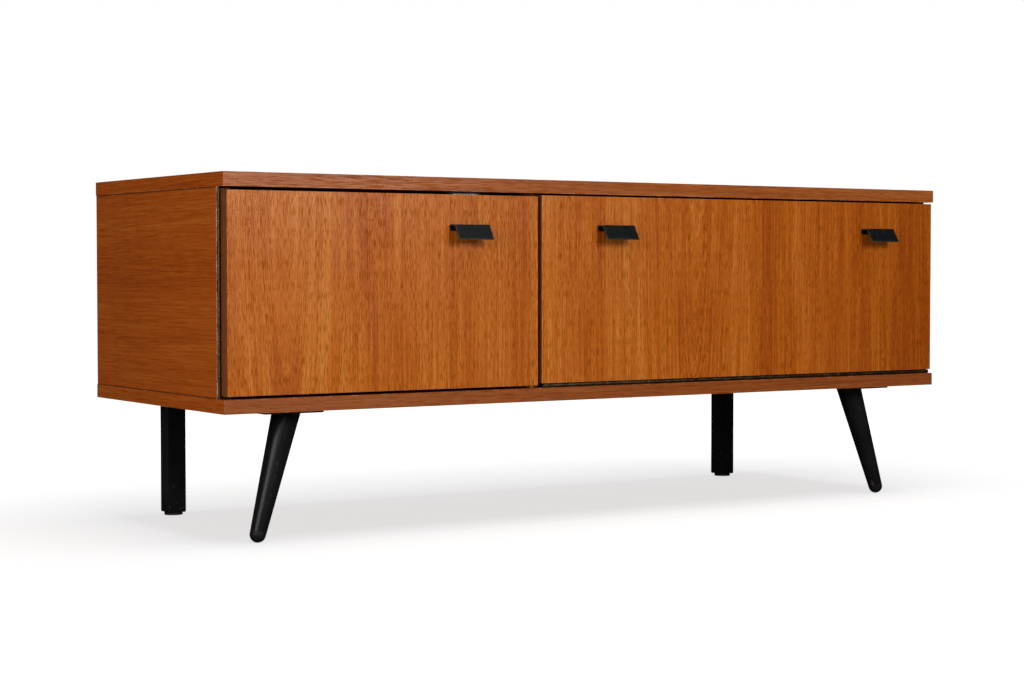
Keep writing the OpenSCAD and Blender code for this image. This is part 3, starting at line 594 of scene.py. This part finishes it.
# Softboxes: place of the middle, point that it faces, width and height in metres, power in watts
SOFTBOXES = {
    "key": ((0.15, -5.0, 2.25), (0.0, -0.2, 0.40), (0.75, 0.75), 104.0),
    "fill": ((-1.35, -1.60, 0.95), (-0.40, -0.2, 0.33), (1.0, 1.0), 6.0),
    "veil": ((0.30, -2.30, 0.85), (-0.40, -0.2, 0.40), (1.4, 0.30), 12.5),
    "left": ((-3.0, -1.4, 0.9), (-0.6, 0.0, 0.35), (1.6, 1.6), 42.0),
    "top": ((0.0, -0.6, 2.7), (0.0, 0.0, 0.0), (2.4, 2.4), 28.0),
}

# The only softbox that lights the floor, so that the one shadow lies under the cabinet
FLOOR_LIGHT = "top"


def floor_material():
    """Matt white paint with painted light: a glow that only the camera sees lifts it towards white,
    more so away from the cabinet. It is dimmer in reflections, as the dark front of a studio is."""
    g = Graph("floor_white")
    x, y, _ = g.position()
    rays = g.node("ShaderNodeLightPath")
    cloud = g.noise(g.times(x, 2.0), g.times(y, 2.0), 0.0, detail=3.0)
    white = g.ramp(cloud, ((0.3, (0.86, 0.86, 0.86)), (0.7, (0.88, 0.88, 0.88))))
    paint = g.node("ShaderNodeBsdfDiffuse")
    g.put(paint.inputs["Color"], g.blend(rays.outputs["Is Glossy Ray"], white, (0.16, 0.16, 0.16)))
    glow = g.node("ShaderNodeEmission")
    aside = g.times(x, 1.0 / GLOW_ELLIPSE[0])
    beyond = g.times(y, 1.0 / GLOW_ELLIPSE[1])
    away = g.math("SQRT", g.add(g.times(aside, aside), g.times(beyond, beyond)))
    # Painted light: the glow rises away from the cabinet
    lift = g.remap(away, GLOW_START, GLOW_STOP, NEAR_GLOW, FAR_GLOW)
    g.put(glow.inputs["Strength"], g.times(rays.outputs["Is Camera Ray"], lift))
    both = g.node("ShaderNodeAddShader")
    g.put(both.inputs[0], paint.outputs[0])
    g.put(both.inputs[1], glow.outputs[0])
    output = g.node("ShaderNodeOutputMaterial")
    g.put(output.inputs["Surface"], both.outputs[0])
    return g.material


def add_floor():
    mesh = bpy.data.meshes.new("floor")
    turns = ((-1, -1), (1, -1), (1, 1), (-1, 1))
    corners = [(FLOOR_HALF * x, FLOOR_HALF * y, 0.0) for x, y in turns]
    mesh.from_pydata(corners, [], [(0, 1, 2, 3)])
    mesh.materials.append(floor_material())
    floor = bpy.data.objects.new("floor", mesh)
    scene.collection.objects.link(floor)
    return floor


def add_softboxes(floor):
    """Adds the softboxes. All but one of them leave the floor unlit."""
    all_but_floor = bpy.data.collections.new("all_but_floor")
    all_but_floor.objects.link(floor)
    all_but_floor.collection_objects[0].light_linking.link_state = "EXCLUDE"
    for name, (place, target, (width, height), power) in SOFTBOXES.items():
        data = bpy.data.lights.new(name, "AREA")
        data.shape = "RECTANGLE"
        data.size = width
        data.size_y = height
        data.energy = power
        light = bpy.data.objects.new(name, data)
        light.location = place
        aim = Vector(target) - Vector(place)
        light.rotation_euler = aim.to_track_quat("-Z", "Y").to_euler()
        if name != FLOOR_LIGHT:
            light.light_linking.receiver_collection = all_but_floor
        scene.collection.objects.link(light)


def add_world():
    """A white backdrop for the camera, and a dimmer one for everything that it lights."""
    world = bpy.data.worlds.new("studio")
    world.use_nodes = True
    tree = world.node_tree
    tree.nodes.clear()
    rays = tree.nodes.new("ShaderNodeLightPath")

    def backdrop(strength):
        white = tree.nodes.new("ShaderNodeBackground")
        white.inputs["Strength"].default_value = strength
        white.inputs["Color"].default_value = (1.0, 1.0, 1.0, 1.0)
        return white.outputs[0]

    result = backdrop(AMBIENT)
    for kind, strength in (("Is Glossy Ray", MIRRORED), ("Is Camera Ray", SEEN)):
        either = tree.nodes.new("ShaderNodeMixShader")
        tree.links.new(rays.outputs[kind], either.inputs[0])
        tree.links.new(result, either.inputs[1])
        tree.links.new(backdrop(strength), either.inputs[2])
        result = either.outputs[0]
    output = tree.nodes.new("ShaderNodeOutputWorld")
    tree.links.new(result, output.inputs["Surface"])
    scene.world = world


def light_studio():
    floor = add_floor()
    add_world()
    add_softboxes(floor)
    scene.view_settings.view_transform = "Standard"


add_camera()
light_studio()
finish_woods()
finish_by_slot()
soften_edges()
